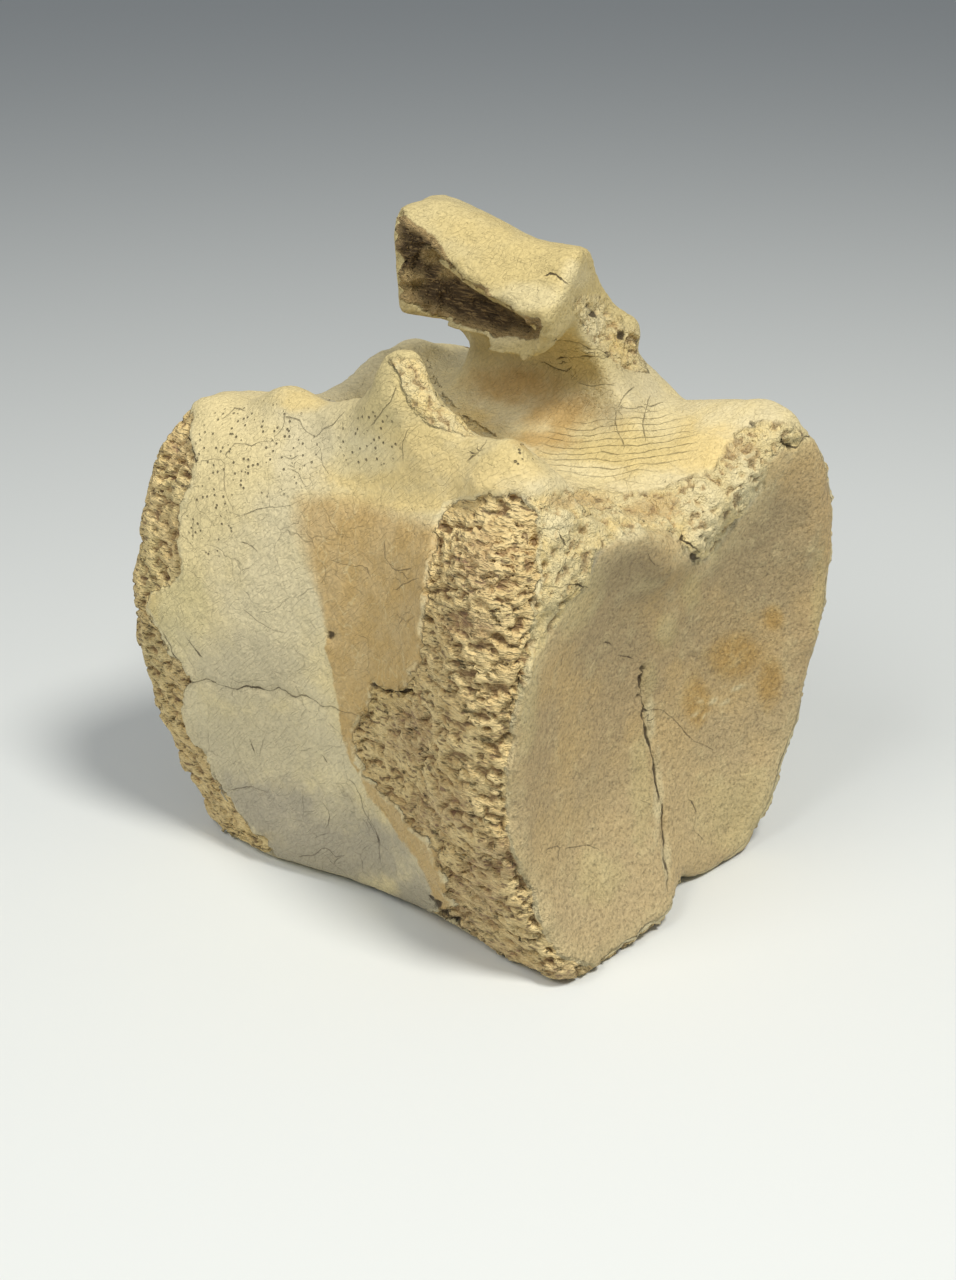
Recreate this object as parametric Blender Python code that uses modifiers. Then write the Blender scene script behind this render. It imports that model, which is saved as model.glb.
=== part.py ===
"""A fossil dorsal vertebra of a hadrosaur, weathered and with half of its neural arch broken away.

The bone is one solid. It stands on the lower edges of its two rims, as it would on a table.
+X is the far side, whose half of the arch survives.
-Y is the face of the centrum that looks forward, and +Z is up.
"""

import math

import bmesh
import bpy
from mathutils import Vector, noise

MM = 0.001

# Driving sizes, in millimetres. The centrum is the drum-shaped body of the vertebra.
LENGTH = 107.0
FACE_CENTRE_Z = 52.0
WAIST_PLACE = 44.0
WAIST_SHARPNESS = 1.8
POINTS_PER_SPAN = 3

# Half sections of the centrum, from the middle of the underside round to the middle of the canal's floor.
# Widths of the near half, whose side of the arch is broken, are measured towards -X.
FACET = {
    "near": [
        (0, 2), (20, 0), (38, 1), (44.5, 12), (49.5, 28), (51, 42), (50.5, 56),
        (48, 68), (43.5, 79), (37, 87), (26, 90), (13, 89), (0, 82),
    ],
    "far": [
        (0, 2), (18, 0), (31, 1), (38.5, 9), (46, 21), (51, 38), (55, 53),
        (56.5, 67), (55, 80), (48.5, 91), (37, 100), (22, 92.5), (0, 82),
    ],
}
FRONT_RIM = {
    "near": [
        (0, 4), (20, 0), (39, 1), (46, 12), (51.5, 28), (53, 42), (53.5, 57),
        (52.5, 72), (50, 86), (44, 95), (33, 98.5), (19, 95), (0, 88),
    ],
    "far": [
        (0, 4), (18, 0.5), (32, 1.5), (40, 10), (48, 22), (53, 38), (57.5, 53),
        (59.5, 68), (57.5, 82), (51, 93.5), (38, 102.5), (20, 96), (0, 88),
    ],
}
WAIST = {
    "near": [
        (0, 5), (17, 4), (35, 1), (42.5, 4), (44.5, 16), (45, 31), (45.5, 47),
        (45.5, 62), (44, 76), (41, 88), (36, 95), (22, 96), (0, 92.5),
    ],
    "far": [
        (0, 5), (16, 5), (31, 4.5), (39, 9), (42, 20), (44, 34), (45, 49),
        (45, 63), (44.5, 77), (43, 88), (37, 96), (20, 94), (0, 92.5),
    ],
}
REAR_RIM = {
    "near": [
        (0, 3), (22, 1), (44, 0), (49.5, 7), (52, 20), (54.5, 34), (56.5, 48),
        (56, 60), (53.5, 74), (49, 88), (39.5, 100), (22, 99), (0, 93),
    ],
    "far": [
        (0, 3), (22, 1), (41, 1), (48, 9), (51.5, 21), (54, 35), (55, 49),
        (54.5, 62), (52.5, 75), (49, 88), (40, 99), (18, 101), (0, 93),
    ],
}

# The front edge turns from the flat facet into the flank: distance back, share of the way, size.
FRONT_EDGE = [(0.0, 0.0, 0.965), (0.7, 0.12, 0.99), (2.2, 0.45, 1.0), (4.8, 0.8, 1.0), (9.0, 1.0, 1.0)]
REAR_EDGE = [(8.0, 1.0), (3.0, 0.985), (0.6, 0.955)]
DISH_RINGS = [0.90, 0.78, 0.62, 0.45, 0.28, 0.12]
FRONT_DISH = 8.0
REAR_DISH = 6.0
REAR_BULGE = 6.0
BODY_STATIONS = 16

# The near half of the front foot bulges forward past the split. The near heel lies forward of the rear face.
FOOT_BULGE = 7.0
FOOT_DEPTH = 22.0
FOOT_HEIGHT = 30.0
HEEL_SETBACK = 8.0
HEEL_DEPTH = 35.0
HEEL_INNER_X = 20.0
HEEL_OUTER_X = 44.0

# The near flank swells low down, between the waist and the heel.
HEEL_SWELL = 3.5
HEEL_SWELL_PLACE = 72.0
HEEL_SWELL_REACH = 18.0
HEEL_SWELL_HEIGHT = 33.0

# A dip across the canal's floor in front of the rear rim.
DIP_DEPTH = 7.0
DIP_PLACE = 89.0
DIP_REACH = 9.0
DIP_NEAR_X = -8.0
DIP_FAR_X = 46.0
DIP_LOWEST_Z = 80.0
DIP_FADE = 12.0

# The surviving side of the arch, from its foot up and over to its broken end. Each section has four corners,
# outer front, outer rear, inner rear and inner front, then how far its crest rises and its inner side sags.
ARCH_SECTIONS = [
    ((45, 22, 84), (45, 96, 84), (5, 88, 84), (2, 10, 84), 0, 0),
    ((44, 31, 94), (44, 95, 94), (9, 84, 93), (6, 16, 93), 0, 0),
    ((43, 37, 99), (43, 94, 98), (17, 80, 97), (15, 24, 98), 0, 0),
    ((38, 43, 106), (38, 92, 106), (19, 77, 105), (18, 34, 107), 0, 0),
    ((35, 48, 115), (35, 88, 116), (16, 76, 112), (13, 38, 114), 0, 0),
    ((27, 46, 126), (28, 87, 128), (10, 79, 115), (8, 36, 119), 1, 1),
    ((14, 37, 135), (15, 86, 137), (4, 79, 116), (3, 34, 119), 2.6, 3),
    ((3, 30, 137.5), (3, 83, 138.5), (-2, 78, 116), (-2, 33, 117), 3.6, 4),
    ((-9, 29, 123), (-7, 74, 138), (-6, 75, 115.5), (-6, 34, 115), -3, 3),
]
ARCH_LONG_STEPS = 12
ARCH_SHORT_STEPS = 5
CREST_HOLLOW = 2.3
BREAK_DEPTH = 8.0
BREAK_RINGS = [0.76, 0.5, 0.2]

# The root of the transverse process on the outer side of the arch, broken off short.
# Each ring has its middle (x, z), half its length from front to rear, and half its thickness.
PROCESS_PLACE = 71.0
PROCESS_RINGS = [((24, 108), 21, 14), ((32, 116), 15, 10.5), ((37, 120), 11.5, 8), ((41, 123), 10.5, 7)]
PROCESS_HOLLOW_RINGS = [((39.5, 122), 7, 4.5), ((38, 121), 2, 1.5)]
PROCESS_SIDES = 20

# The broken foot of the near pedicle: distance from the front, how far out its outer side stands,
# then the height of its outer and inner edge.
STUMP_STATIONS = [
    (3, 43, 97, 96), (8, 42, 103, 100), (16, 40, 110, 104), (25, 39, 108, 103),
    (34, 38.5, 111, 104), (43, 38.5, 122, 108), (49, 38.5, 120, 108), (56, 38.5, 109, 104),
    (69, 39.5, 105, 102), (80, 41, 107.5, 102), (89, 43, 102, 100), (97, 44, 98, 97),
]
STUMP_CREST_X = -33.0
STUMP_INNER_X = -22.0
STUMP_ROOT_Z = 84.0

# The small knob on the front edge of the arch, where a process has snapped off.
KNOB_CENTRE = (32.2, 44.2, 111.8)
KNOB_RADIUS = 5.0

# The deep split in the lower half of the front face.
SPLIT_TOP_Z = 52.0
SPLIT_WIDTH = 3.6
SPLIT_DEPTH = 12.0
SPLIT_LEAN = 2.0
SPLIT_REACH = 12.0
SPLIT_STAGES = [(-6, 1.0), (0, 1.0), (26, 0.75), (SPLIT_TOP_Z, 0.12)]

# The dense skin has broken away in a band round each rim, and the spongy bone there lies lower.
# The near side's bands end at these distances from the front, each given after its height.
NEAR_FRONT_BAND = [
    (0, 20), (22, 18), (28, 30), (32, 44), (40, 48), (48, 43), (56, 34), (62, 26), (80, 23), (95, 27),
]
NEAR_REAR_BAND = [
    (0, 62), (8, 78), (20, 92), (30, 96), (46, 95), (52, 103), (58, 102), (66, 94), (78, 97), (92, 99),
]
FAR_FRONT_BAND = 13.0
FAR_REAR_BAND = 95.0
BAND_DEPTH = 1.3
BAND_EDGE = 1.0
BAND_INNER_RADIUS = (40.0, 44.0)
BAND_TOP_Z = (95.0, 101.0)
BAND_FOOT_Z = (2.0, 8.0)
BAND_FACING = (0.75, 0.95)

# Weathering: each pair is where the wear starts and where it is full. Then the mesh sizes.
VOXEL = 2.1
SMOOTH_STEPS = 4
WEAR_HEIGHT = 1.2
WEAR_WAVELENGTH = 10.0
WEAR_OCTAVES = 3
WEAR_ROUGHNESS = 0.6
WEAR_FINENESS = 2.2
FRONT_WEAR = (16.0, 26.0)
REAR_WEAR = (91.0, 101.0)
RIM_WEAR_RADIUS = (42.0, 50.0)
BREAK_WEAR_Z = (103.0, 110.0)
NEAR_BREAK_X = (-16.0, -4.0)
FAR_BREAK_X = (34.0, 39.0)
REAR_BREAK = (72.0, 79.0)
TRIANGLE_SHARE = 0.25
FLOOR_SHAVE = 1.2


def clear_scene():
    for old in list(bpy.data.objects):
        bpy.data.objects.remove(old, do_unlink=True)


def smooth_step(value, low, high):
    t = min(1.0, max(0.0, (value - low) / (high - low)))
    return t * t * (3 - 2 * t)


def curve_point(points, position):
    """A point on the smooth curve through points, with position counted in spans."""
    last = len(points) - 1
    span = min(int(position), last - 1)
    t = position - span
    before = points[max(span - 1, 0)]
    start = points[span]
    end = points[span + 1]
    after = points[min(span + 2, last)]
    if span == 0:
        before = (-points[1][0], points[1][1])
    if span == last - 1:
        after = (-points[last - 1][0], points[last - 1][1])
    return tuple(
        0.5 * (2 * b + (c - a) * t + (2 * a - 5 * b + 4 * c - d) * t * t + (3 * b - a - 3 * c + d) * t ** 3)
        for a, b, c, d in zip(before, start, end, after)
    )


def half_outline(first, second, share, side):
    """One half of the section that lies this share of the way from the first one to the second."""
    blended = [
        (a[0] + (b[0] - a[0]) * share, a[1] + (b[1] - a[1]) * share)
        for a, b in zip(first[side], second[side])
    ]
    steps = (len(blended) - 1) * POINTS_PER_SPAN
    return [curve_point(blended, step / POINTS_PER_SPAN) for step in range(steps + 1)]


def whole_outline(first, second, share):
    """The closed section as (x, z) points, the far half and then the near one."""
    far = half_outline(first, second, share, "far")
    near = half_outline(first, second, share, "near")
    return far + [(-x, z) for x, z in reversed(near[1:-1])]


def end_shift(x, z, distance):
    """How far a point of the centrum moves back because its ends aren't flat."""
    rear = smooth_step(distance, LENGTH / 2, LENGTH)
    front = 1 - smooth_step(distance, 0, FOOT_DEPTH)
    low = 1 - smooth_step(z, 0, FOOT_HEIGHT)
    near = smooth_step(-x, -SPLIT_WIDTH, SPLIT_WIDTH)
    heel = smooth_step(distance, LENGTH - HEEL_DEPTH, LENGTH) * smooth_step(-x, HEEL_INNER_X, HEEL_OUTER_X)
    shift = REAR_BULGE * rear * (1 - ((z - FACE_CENTRE_Z) / FACE_CENTRE_Z) ** 2)
    shift -= HEEL_SETBACK * heel * low
    shift -= FOOT_BULGE * front * near * low
    return shift


def canal_dip(x, z, distance):
    """How far the canal's floor sinks in front of the far lobe of the rear rim."""
    across = smooth_step(x, DIP_NEAR_X, DIP_NEAR_X + DIP_FADE)
    across *= 1 - smooth_step(x, DIP_FAR_X - DIP_FADE, DIP_FAR_X)
    top = smooth_step(z, DIP_LOWEST_Z, DIP_LOWEST_Z + DIP_FADE)
    return DIP_DEPTH * math.exp(-((distance - DIP_PLACE) / DIP_REACH) ** 2) * across * top


def centrum_ring(outline, distance, scale=1.0, dish=0.0):
    """One ring of the centrum. distance runs from the front end, dish pushes the ring back."""
    ring = []
    for x, z in outline:
        tall = FACE_CENTRE_Z + (z - FACE_CENTRE_Z) * scale
        swell = HEEL_SWELL * math.exp(-((distance - HEEL_SWELL_PLACE) / HEEL_SWELL_REACH) ** 2)
        swell *= smooth_step(-x, HEEL_INNER_X, HEEL_OUTER_X) * (1 - smooth_step(z, 0, HEEL_SWELL_HEIGHT))
        wide = (x - swell) * scale
        back = distance + dish + end_shift(wide, tall, distance)
        ring.append(Vector((wide, back - LENGTH / 2, tall - canal_dip(wide, tall, distance))))
    return ring


def loft(name, rings):
    """A closed skin over rings that all have the same number of points."""
    mesh = bpy.data.meshes.new(name)
    build = bmesh.new()
    rows = [[build.verts.new(point * MM) for point in ring] for ring in rings]
    for row, following in zip(rows, rows[1:]):
        for index, corner in enumerate(row):
            after = (index + 1) % len(row)
            build.faces.new((corner, row[after], following[after], following[index]))
    for row in (rows[0], rows[-1]):
        centre = build.verts.new(sum((corner.co for corner in row), Vector()) / len(row))
        for index, corner in enumerate(row):
            build.faces.new((corner, row[(index + 1) % len(row)], centre))
    bmesh.ops.recalc_face_normals(build, faces=build.faces)
    build.to_mesh(mesh)
    build.free()
    return bpy.data.objects.new(name, mesh)


def dish_depth(scale):
    """0 at the edge of a dish to 1 in its middle."""
    return 1 - (scale / DISH_RINGS[0]) ** 2


def make_centrum():
    facet = whole_outline(FACET, FACET, 0)
    rear_rim = whole_outline(REAR_RIM, REAR_RIM, 0)
    rings = []
    for scale in reversed(DISH_RINGS):
        rings.append(centrum_ring(facet, 0.0, scale, FRONT_DISH * dish_depth(scale)))
    for distance, share, scale in FRONT_EDGE:
        rings.append(centrum_ring(whole_outline(FACET, FRONT_RIM, share), distance, scale))
    front_end = FRONT_EDGE[-1][0]
    rear_end = LENGTH - REAR_EDGE[0][0]
    for step in range(1, BODY_STATIONS):
        distance = front_end + (rear_end - front_end) * step / BODY_STATIONS
        if distance < WAIST_PLACE:
            rim = FRONT_RIM
            flare = (WAIST_PLACE - distance) / (WAIST_PLACE - front_end)
        else:
            rim = REAR_RIM
            flare = (distance - WAIST_PLACE) / (rear_end - WAIST_PLACE)
        share = math.sin(flare * math.pi / 2) ** WAIST_SHARPNESS
        rings.append(centrum_ring(whole_outline(WAIST, rim, share), distance))
    for distance, scale in REAR_EDGE:
        rings.append(centrum_ring(rear_rim, LENGTH - distance, scale))
    for scale in DISH_RINGS:
        rings.append(centrum_ring(rear_rim, LENGTH, scale, -REAR_DISH * dish_depth(scale)))
    return loft("centrum", rings)


def arch_ring(section):
    """A closed section of the arch through its four corners.

    Its crest is hollow in the front third and highest three quarters of the way back.
    """
    *corners, rise, sag = section
    corners = [Vector(corner) - Vector((0, LENGTH / 2, 0)) for corner in corners]
    sides = [
        (ARCH_LONG_STEPS, CREST_HOLLOW, rise), (ARCH_SHORT_STEPS, 0, 0),
        (ARCH_LONG_STEPS, 0, -sag), (ARCH_SHORT_STEPS, 0, 0),
    ]
    ring = []
    for index, (steps, hollow, lift) in enumerate(sides):
        start = corners[index]
        end = corners[(index + 1) % len(corners)]
        for step in range(steps):
            t = step / steps
            raised = lift * t ** 3 * (1 - t) / (0.75 ** 3 * 0.25)
            sunk = hollow * t * (1 - t) ** 2 / (1 / 3 * (2 / 3) ** 2)
            ring.append(start.lerp(end, t) + Vector((0, 0, raised - sunk)))
    return ring


def make_arch():
    rings = [arch_ring(section) for section in ARCH_SECTIONS]
    end = rings[-1]
    middle = sum(end, Vector()) / len(end)
    for shrink in BREAK_RINGS:
        recess = Vector((BREAK_DEPTH * (1 - shrink ** 3), 0, 0))
        rings.append([middle.lerp(point, shrink) + recess for point in end])
    return loft("arch", rings)


def make_stump():
    rings = []
    for distance, out, outer, inner in STUMP_STATIONS:
        profile = [
            (STUMP_INNER_X, STUMP_ROOT_Z), (-out, STUMP_ROOT_Z), (-out, outer - 10),
            ((STUMP_CREST_X * 2 - out) / 3, outer - 1), (STUMP_CREST_X, outer),
            (STUMP_CREST_X + 2, outer - 0.5), (STUMP_INNER_X - 3, inner), (STUMP_INNER_X - 1, inner - 4),
        ]
        rings.append([Vector((x, distance - LENGTH / 2, z)) for x, z in profile])
    return loft("stump", rings)


def make_knob():
    knob = bpy.data.objects.new("knob", bpy.data.meshes.new("knob"))
    build = bmesh.new()
    bmesh.ops.create_icosphere(build, subdivisions=2, radius=KNOB_RADIUS * MM)
    build.to_mesh(knob.data)
    build.free()
    x, y, z = KNOB_CENTRE
    knob.location = Vector((x, y - LENGTH / 2, z)) * MM
    return knob


def make_process_root():
    """Oval rings that rise outwards along the process and turn in at its hollow broken end."""
    along = (Vector(PROCESS_RINGS[-1][0]) - Vector(PROCESS_RINGS[0][0])).normalized()
    rings = []
    for (x, z), half_length, half_thickness in PROCESS_RINGS + PROCESS_HOLLOW_RINGS:
        ring = []
        for side in range(PROCESS_SIDES):
            turn = 2 * math.pi * side / PROCESS_SIDES
            over = half_thickness * math.sin(turn)
            y = PROCESS_PLACE - LENGTH / 2 + half_length * math.cos(turn)
            ring.append(Vector((x - along.y * over, y, z + along.x * over)))
        rings.append(ring)
    return loft("process_root", rings)


def make_split():
    """A thin wedge, widest at the foot of the front face, that cuts the split."""
    front = -LENGTH / 2 - SPLIT_REACH
    rings = []
    for height, share in SPLIT_STAGES:
        half = share * SPLIT_WIDTH / 2
        rise = height / SPLIT_TOP_Z
        back = -LENGTH / 2 + SPLIT_DEPTH * share + FRONT_DISH * rise
        lean = SPLIT_LEAN * rise
        rings.append([
            Vector((lean - half, front, height)),
            Vector((lean + half, front, height)),
            Vector((lean, back, height)),
        ])
    return loft("split", rings)


def boolean(target, other, operation):
    cut = target.modifiers.new(other.name, "BOOLEAN")
    cut.operation = operation
    cut.solver = "EXACT"
    cut.object = other


def applied(target):
    """Gives the object its mesh with its modifiers worked out."""
    bpy.context.view_layer.update()
    evaluated = target.evaluated_get(bpy.context.evaluated_depsgraph_get())
    finished = bpy.data.meshes.new_from_object(evaluated)
    target.modifiers.clear()
    target.data = finished


def wear_of(point):
    """0 on sound bone to 1 on the crumbled rims and broken edges, for a point in millimetres."""
    from_front = point.y + LENGTH / 2
    outward = smooth_step(math.hypot(point.x, point.z - FACE_CENTRE_Z), *RIM_WEAR_RADIUS)
    rims = outward * max(1 - smooth_step(from_front, *FRONT_WEAR), smooth_step(from_front, *REAR_WEAR))
    broken = max(
        1 - smooth_step(point.x, *NEAR_BREAK_X),
        smooth_step(point.x, *FAR_BREAK_X),
        smooth_step(from_front, *REAR_BREAK),
    )
    return max(rims, broken * smooth_step(point.z, *BREAK_WEAR_Z))


def value_at(stations, place):
    """The second number of (place, number) stations, in a straight line from one to the next."""
    for (start, first), (end, last) in zip(stations, stations[1:]):
        if place <= end:
            return first + (last - first) * max(0.0, place - start) / (end - start)
    return stations[-1][1]


def band_of(point, normal):
    """1 in the bands round the rims, 0 on the skin between them and on the faces of the centrum."""
    from_front = point.y + LENGTH / 2
    near = smooth_step(-point.x, -SPLIT_WIDTH, SPLIT_WIDTH)
    front_end = FAR_FRONT_BAND + (value_at(NEAR_FRONT_BAND, point.z) - FAR_FRONT_BAND) * near
    rear_end = FAR_REAR_BAND + (value_at(NEAR_REAR_BAND, point.z) - FAR_REAR_BAND) * near
    front = 1 - smooth_step(from_front, front_end - BAND_EDGE, front_end + BAND_EDGE)
    rear = smooth_step(from_front, rear_end - BAND_EDGE, rear_end + BAND_EDGE)
    outward = smooth_step(math.hypot(point.x, point.z - FACE_CENTRE_Z), *BAND_INNER_RADIUS)
    sideways = 1 - smooth_step(abs(normal.y), *BAND_FACING)
    between = smooth_step(point.z, *BAND_FOOT_Z) * (1 - smooth_step(point.z, *BAND_TOP_Z))
    return max(front, rear) * outward * sideways * between


def weather(target):
    """Sinks the bands round the rims and crumbles the worn edges."""
    for vertex in target.data.vertices:
        point = vertex.co / MM
        rough = noise.fractal(point / WEAR_WAVELENGTH, WEAR_ROUGHNESS, WEAR_FINENESS, WEAR_OCTAVES)
        raised = rough * WEAR_HEIGHT * wear_of(point) - BAND_DEPTH * band_of(point, vertex.normal)
        vertex.co += vertex.normal * (raised * MM)


def trim_underside(target):
    """Flattens the lowest parts to the small flats at one level that the bone stands on."""
    vertices = target.data.vertices
    floor = min(vertex.co.z for vertex in vertices) + FLOOR_SHAVE * MM
    for vertex in vertices:
        vertex.co.z = max(vertex.co.z, floor)


def rest_on_floor(target):
    """Moves the mesh so that its box stands on z = 0 with its middle on the origin."""
    corners = [vertex.co for vertex in target.data.vertices]
    low = Vector(min(corner[axis] for corner in corners) for axis in range(3))
    high = Vector(max(corner[axis] for corner in corners) for axis in range(3))
    shift = Vector((-(low.x + high.x) / 2, -(low.y + high.y) / 2, -low.z))
    for vertex in target.data.vertices:
        vertex.co += shift
    print("bone moved by", [round(value / MM, 2) for value in shift], "mm")


def bone_material():
    bone = bpy.data.materials.new("fossil_bone")
    bone.use_nodes = True
    surface = bone.node_tree.nodes["Principled BSDF"]
    surface.inputs["Base Color"].default_value = (0.55, 0.43, 0.24, 1.0)
    surface.inputs["Roughness"].default_value = 0.8
    surface.inputs["Metallic"].default_value = 0.0
    return bone


def make_vertebra():
    bones = bpy.data.collections.new("hadrosaur_vertebra")
    bpy.context.scene.collection.children.link(bones)
    pieces = bpy.data.collections.new("pieces")
    bpy.context.scene.collection.children.link(pieces)

    vertebra = make_centrum()
    vertebra.name = "vertebra"
    bones.objects.link(vertebra)
    grown = [make_arch(), make_stump(), make_knob(), make_process_root()]
    split = make_split()
    for piece in [*grown, split]:
        pieces.objects.link(piece)
        piece.hide_render = True
    for piece in grown:
        boolean(vertebra, piece, "UNION")
    applied(vertebra)

    fuse = vertebra.modifiers.new("fuse", "REMESH")
    fuse.mode = "VOXEL"
    fuse.voxel_size = VOXEL * MM
    soften = vertebra.modifiers.new("soften", "SMOOTH")
    soften.factor = 0.5
    soften.iterations = SMOOTH_STEPS
    applied(vertebra)
    weather(vertebra)

    thin = vertebra.modifiers.new("thin", "DECIMATE")
    thin.ratio = TRIANGLE_SHARE
    thin.use_collapse_triangulate = True
    applied(vertebra)
    trim_underside(vertebra)
    boolean(vertebra, split, "DIFFERENCE")
    applied(vertebra)

    for piece in [*grown, split]:
        bpy.data.objects.remove(piece, do_unlink=True)
    rest_on_floor(vertebra)
    vertebra.data.materials.clear()
    vertebra.data.materials.append(bone_material())
    vertebra.data.shade_smooth()
    print("triangles", sum(len(face.vertices) - 2 for face in vertebra.data.polygons))


def main():
    clear_scene()
    make_vertebra()


main()
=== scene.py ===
# %% [markdown]
# # A fossil hadrosaur vertebra
# One bone from the back of a duck-billed dinosaur, after millions of years in the ground. The solid
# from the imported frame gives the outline. This file gives it the surface: smooth cortex, crumbled
# spongy bone along its rims, splits, cracks, pores and stains.

import math

import bmesh
import bpy
import numpy as np
from mathutils import Matrix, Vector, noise
from mathutils.bvhtree import BVHTree


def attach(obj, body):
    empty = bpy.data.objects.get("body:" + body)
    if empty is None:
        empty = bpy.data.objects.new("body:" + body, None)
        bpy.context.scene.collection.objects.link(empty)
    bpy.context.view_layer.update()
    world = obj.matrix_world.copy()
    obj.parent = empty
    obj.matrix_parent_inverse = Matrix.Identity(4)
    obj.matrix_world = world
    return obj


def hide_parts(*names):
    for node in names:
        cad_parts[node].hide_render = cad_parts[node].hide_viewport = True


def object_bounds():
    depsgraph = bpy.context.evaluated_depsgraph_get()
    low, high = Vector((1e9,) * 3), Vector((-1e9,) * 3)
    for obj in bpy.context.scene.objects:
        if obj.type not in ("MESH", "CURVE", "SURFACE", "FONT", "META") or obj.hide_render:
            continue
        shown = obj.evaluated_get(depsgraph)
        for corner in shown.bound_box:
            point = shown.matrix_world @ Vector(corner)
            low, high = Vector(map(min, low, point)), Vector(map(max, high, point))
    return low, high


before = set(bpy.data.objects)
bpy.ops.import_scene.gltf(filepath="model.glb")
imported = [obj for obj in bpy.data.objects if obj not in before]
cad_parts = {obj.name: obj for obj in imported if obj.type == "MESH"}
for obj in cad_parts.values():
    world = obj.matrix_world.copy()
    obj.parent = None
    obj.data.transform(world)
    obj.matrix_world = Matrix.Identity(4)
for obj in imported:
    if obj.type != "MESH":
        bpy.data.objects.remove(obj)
cad_low, cad_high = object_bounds()
MM = 0.001
print("solid", [round(side / MM, 1) for side in cad_high - cad_low], "mm")

# %% [markdown]
# ## The camera
# The photograph looks down at the front left edge of the bone. The same camera also serves as a
# projector: each crack and stain is drawn below as pixels of a 956 x 1280 picture, and lands on
# whatever part of the bone those pixels show.

# %% Set up the camera
PICTURE_HEIGHT = 1280
PICTURE_CENTRE = (478.0, 640.0)
FOCAL_PIXELS = 1924.0
CAMERA_PLACE = np.array((-0.2846, -0.2705, 0.2206))
CAMERA_TURN = math.radians(46)
CAMERA_TILT = math.radians(24.08)
SENSOR = 36.0

level = np.array((math.sin(CAMERA_TURN), math.cos(CAMERA_TURN), 0.0))
sight = level * math.cos(CAMERA_TILT) - np.array((0, 0, math.sin(CAMERA_TILT)))
across = np.array((math.cos(CAMERA_TURN), -math.sin(CAMERA_TURN), 0.0))
upward = np.cross(across, sight)

camera = bpy.data.objects.new("camera", bpy.data.cameras.new("camera"))
bpy.context.scene.collection.objects.link(camera)
camera.matrix_world = Matrix.Translation(CAMERA_PLACE) @ Matrix(
    np.stack((across, upward, -sight), axis=1).tolist()
).to_4x4()
camera.data.sensor_width = SENSOR
camera.data.lens = SENSOR * FOCAL_PIXELS / PICTURE_HEIGHT
camera.data.clip_start = 0.01
bpy.context.scene.camera = camera
print("lens", round(camera.data.lens, 2), "mm")


# %% [markdown]
# ## A finer copy of the bone
# The solid is made of large flat triangles. A voxel remesh turns a merged copy of it into even
# little quads, and a smoothing that pushes back out what it pulled in removes the facets but keeps
# the size.

# %% Remesh and smooth a copy
FINE = 1.27 * MM
SMOOTH_ROUNDS = 6
PULL_IN, PUSH_OUT = 0.6, 0.62


def points_of(mesh):
    flat = np.empty(len(mesh.vertices) * 3)
    mesh.vertices.foreach_get("co", flat)
    return flat.reshape(-1, 3)


def normals_of(mesh):
    flat = np.empty(len(mesh.vertices) * 3)
    mesh.vertex_normals.foreach_get("vector", flat)
    return flat.reshape(-1, 3)


def edges_of(mesh):
    flat = np.empty(len(mesh.edges) * 2, int)
    mesh.edges.foreach_get("vertices", flat)
    return flat.reshape(-1, 2)


def neighbour_mean(values, edges):
    """The mean of each vertex's neighbours."""
    values = np.asarray(values, float)
    columns = values.reshape(len(values), -1)
    count = np.bincount(edges.ravel(), minlength=len(values))
    means = np.empty_like(columns)
    for column in range(columns.shape[1]):
        one = columns[:, column]
        total = np.bincount(edges[:, 0], one[edges[:, 1]], len(values))
        total += np.bincount(edges[:, 1], one[edges[:, 0]], len(values))
        means[:, column] = total / np.maximum(count, 1)
    return means.reshape(values.shape)


def spread(values, edges, rounds):
    for _ in range(rounds):
        values = (values + neighbour_mean(values, edges)) / 2
    return values


bone = bpy.data.objects.new("weathered_vertebra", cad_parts["vertebra"].data.copy())
bpy.context.scene.collection.objects.link(bone)
build = bmesh.new()
build.from_mesh(bone.data)
bmesh.ops.remove_doubles(build, verts=build.verts, dist=0.01 * MM)
build.to_mesh(bone.data)
build.free()

remesh = bone.modifiers.new("remesh", "REMESH")
remesh.mode = "VOXEL"
remesh.voxel_size = FINE
bpy.context.view_layer.update()
fine_mesh = bpy.data.meshes.new_from_object(bone.evaluated_get(bpy.context.evaluated_depsgraph_get()))
bone.modifiers.clear()
bone.data = fine_mesh

edges = edges_of(bone.data)
place = points_of(bone.data)
for _ in range(SMOOTH_ROUNDS):
    place = place + PULL_IN * (neighbour_mean(place, edges) - place)
    place = place - PUSH_OUT * (neighbour_mean(place, edges) - place)
bone.data.vertices.foreach_set("co", place.ravel())
bone.data.update()
print("fine copy", len(bone.data.polygons), "faces")

# %% [markdown]
# ## Drawing on the bone
# A closed outline gives each point of the bone its distance inside or outside. An open line gives
# its distance to one side or the other. Distances grow evenly, so a thin crack stays sharp even
# where the mesh is coarser than the crack.


# %% Helpers that draw in the picture
def smooth_step(low, high, value):
    share = np.clip((value - low) / (high - low), 0, 1)
    return share * share * (3 - 2 * share)


def in_picture(points):
    """Pixel positions of points, and how many millimetres a pixel covers there."""
    away = points - CAMERA_PLACE
    depth = away @ sight
    pixels = np.stack(
        (PICTURE_CENTRE[0] + FOCAL_PIXELS * (away @ across) / depth,
         PICTURE_CENTRE[1] - FOCAL_PIXELS * (away @ upward) / depth), axis=1)
    return pixels, depth / FOCAL_PIXELS / MM


def nearest_on(pixels, start, end):
    """Distance to one straight stretch, how far along it that is, and the side it is on."""
    along = np.subtract(end, start)
    offset = pixels - start
    share = np.clip(offset @ along / (along @ along), 0, 1)
    distance = np.linalg.norm(offset - share[:, None] * along, axis=1)
    side = np.sign(along[0] * offset[:, 1] - along[1] * offset[:, 0])
    return distance, share, side


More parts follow.
